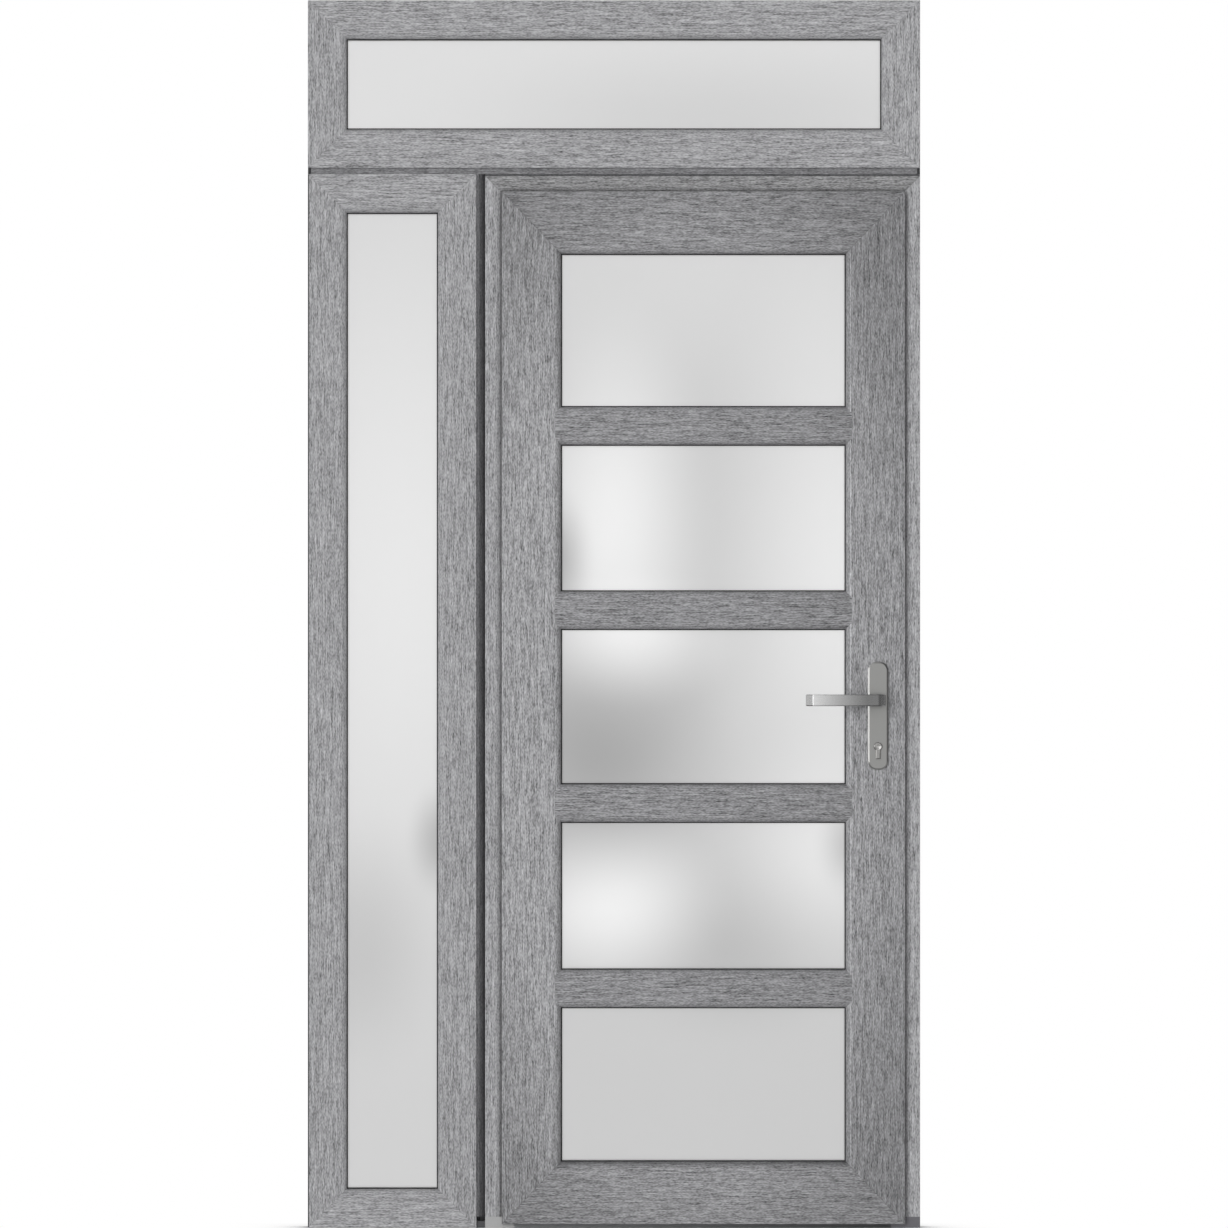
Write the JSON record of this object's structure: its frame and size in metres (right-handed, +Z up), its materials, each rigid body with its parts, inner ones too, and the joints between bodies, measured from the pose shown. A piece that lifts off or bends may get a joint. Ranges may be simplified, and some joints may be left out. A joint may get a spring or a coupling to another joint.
{
  "type": "entrance door with sidelight and top light",
  "caption": "Grey wood-grain entrance door set: glazed out-swing leaf with frosted panes between bars, lever handle, fixed sidelight at the left and a fixed light across the top.",
  "frame": {"origin": "on the underside of the threshold, at the middle of the whole unit's width and of the frame's depth", "axes": "+X to the right seen from outside, +Y into the building, +Z up; the outside face looks along -Y"},
  "size_m": [1.216, 0.19, 2.438],
  "materials": {
    "frame_foil_level": "grey wood-grain foil on PVC, grain along the bar",
    "frame_foil_upright": "grey wood-grain foil on PVC, grain along the bar",
    "leaf_foil_level": "grey wood-grain foil on PVC, grain along the bar",
    "leaf_foil_upright": "grey wood-grain foil on PVC, grain along the bar",
    "bead_foil": "grey wood-grain foil on PVC",
    "dark_foil": "dark grey foil on PVC",
    "dark_plastic": "moulded plastic",
    "pale_end_block": "moulded plastic",
    "dark_end_block": "moulded plastic",
    "anodised_aluminium": "anodised",
    "frosted_glass": "acid-etched double glazing unit",
    "black_gasket": "extruded rubber",
    "satin_handle_metal": "satin",
    "nickel_cylinder": "nickel plated",
    "lock_steel": "satin",
    "hinge_casting": "painted zinc casting"
  },
  "bodies": {
    "frame": {"door_head": "frame_foil_level", "frame_seal": "black_gasket", "head_packer": "dark_foil", "hinge_frame_halves": "hinge_casting", "hinge_jamb": "frame_foil_upright", "lock_jamb": "frame_foil_upright", "mullion_coupler": "dark_foil", "mullion_foot": "dark_plastic", "sidelight_beads": "bead_foil", "sidelight_gaskets": "black_gasket", "sidelight_glass": "frosted_glass", "sidelight_head": "frame_foil_level", "sidelight_left_jamb": "frame_foil_upright", "sidelight_right_jamb": "frame_foil_upright", "sidelight_sill": "frame_foil_level", "strike_plates": "lock_steel", "threshold": "anodised_aluminium", "threshold_end_left": "pale_end_block", "threshold_end_right": "dark_end_block", "transom_beads": "bead_foil", "transom_coupler": "dark_foil", "transom_gaskets": "black_gasket", "transom_glass": "frosted_glass", "transom_head": "frame_foil_level", "transom_left_jamb": "frame_foil_upright", "transom_right_jamb": "frame_foil_upright", "transom_sill": "frame_foil_level"},
    "leaf": {"glazing_bars": "leaf_foil_level", "hinge_leaf_halves": "hinge_casting", "inside_backplate": "satin_handle_metal", "leaf_beads": "bead_foil", "leaf_bottom_rail": "leaf_foil_level", "leaf_gaskets": "black_gasket", "leaf_glass": "frosted_glass", "leaf_hinge_stile": "leaf_foil_upright", "leaf_lock_stile": "leaf_foil_upright", "leaf_seal": "black_gasket", "leaf_top_rail": "leaf_foil_level", "lock_cylinder": "nickel_cylinder", "lock_faceplate": "lock_steel", "outside_backplate": "satin_handle_metal"},
    "lever": {"outside_lever": "satin_handle_metal", "inside_lever": "satin_handle_metal", "spindle": "lock_steel"},
    "hinge_arms": {"hinge_arms": "hinge_casting"}
  },
  "joints": [
    {"name": "door_swing", "type": "hinge", "parent": "frame", "child": "leaf", "pos_m": [-0.223, -0.041, 1.05], "axis": [0, 0, -1], "range_deg": [0, 90]},
    {"name": "lever_turn", "type": "hinge", "parent": "leaf", "child": "lever", "pos_m": [0.524, -0.02, 1.048], "axis": [0, -1, 0], "range_deg": [0, 40], "stiffness_Nm_per_rad": 3, "springref_deg": -20.05},
    {"name": "hinge_arm_swing", "type": "hinge", "parent": "frame", "child": "hinge_arms", "pos_m": [-0.223, -0.041, 1.05], "axis": [0, 0, -1], "range_deg": [0, 45]}
  ],
  "couplings": [
    {"joint": "hinge_arm_swing", "follows": "door_swing", "ratio": 0.5}
  ]
}
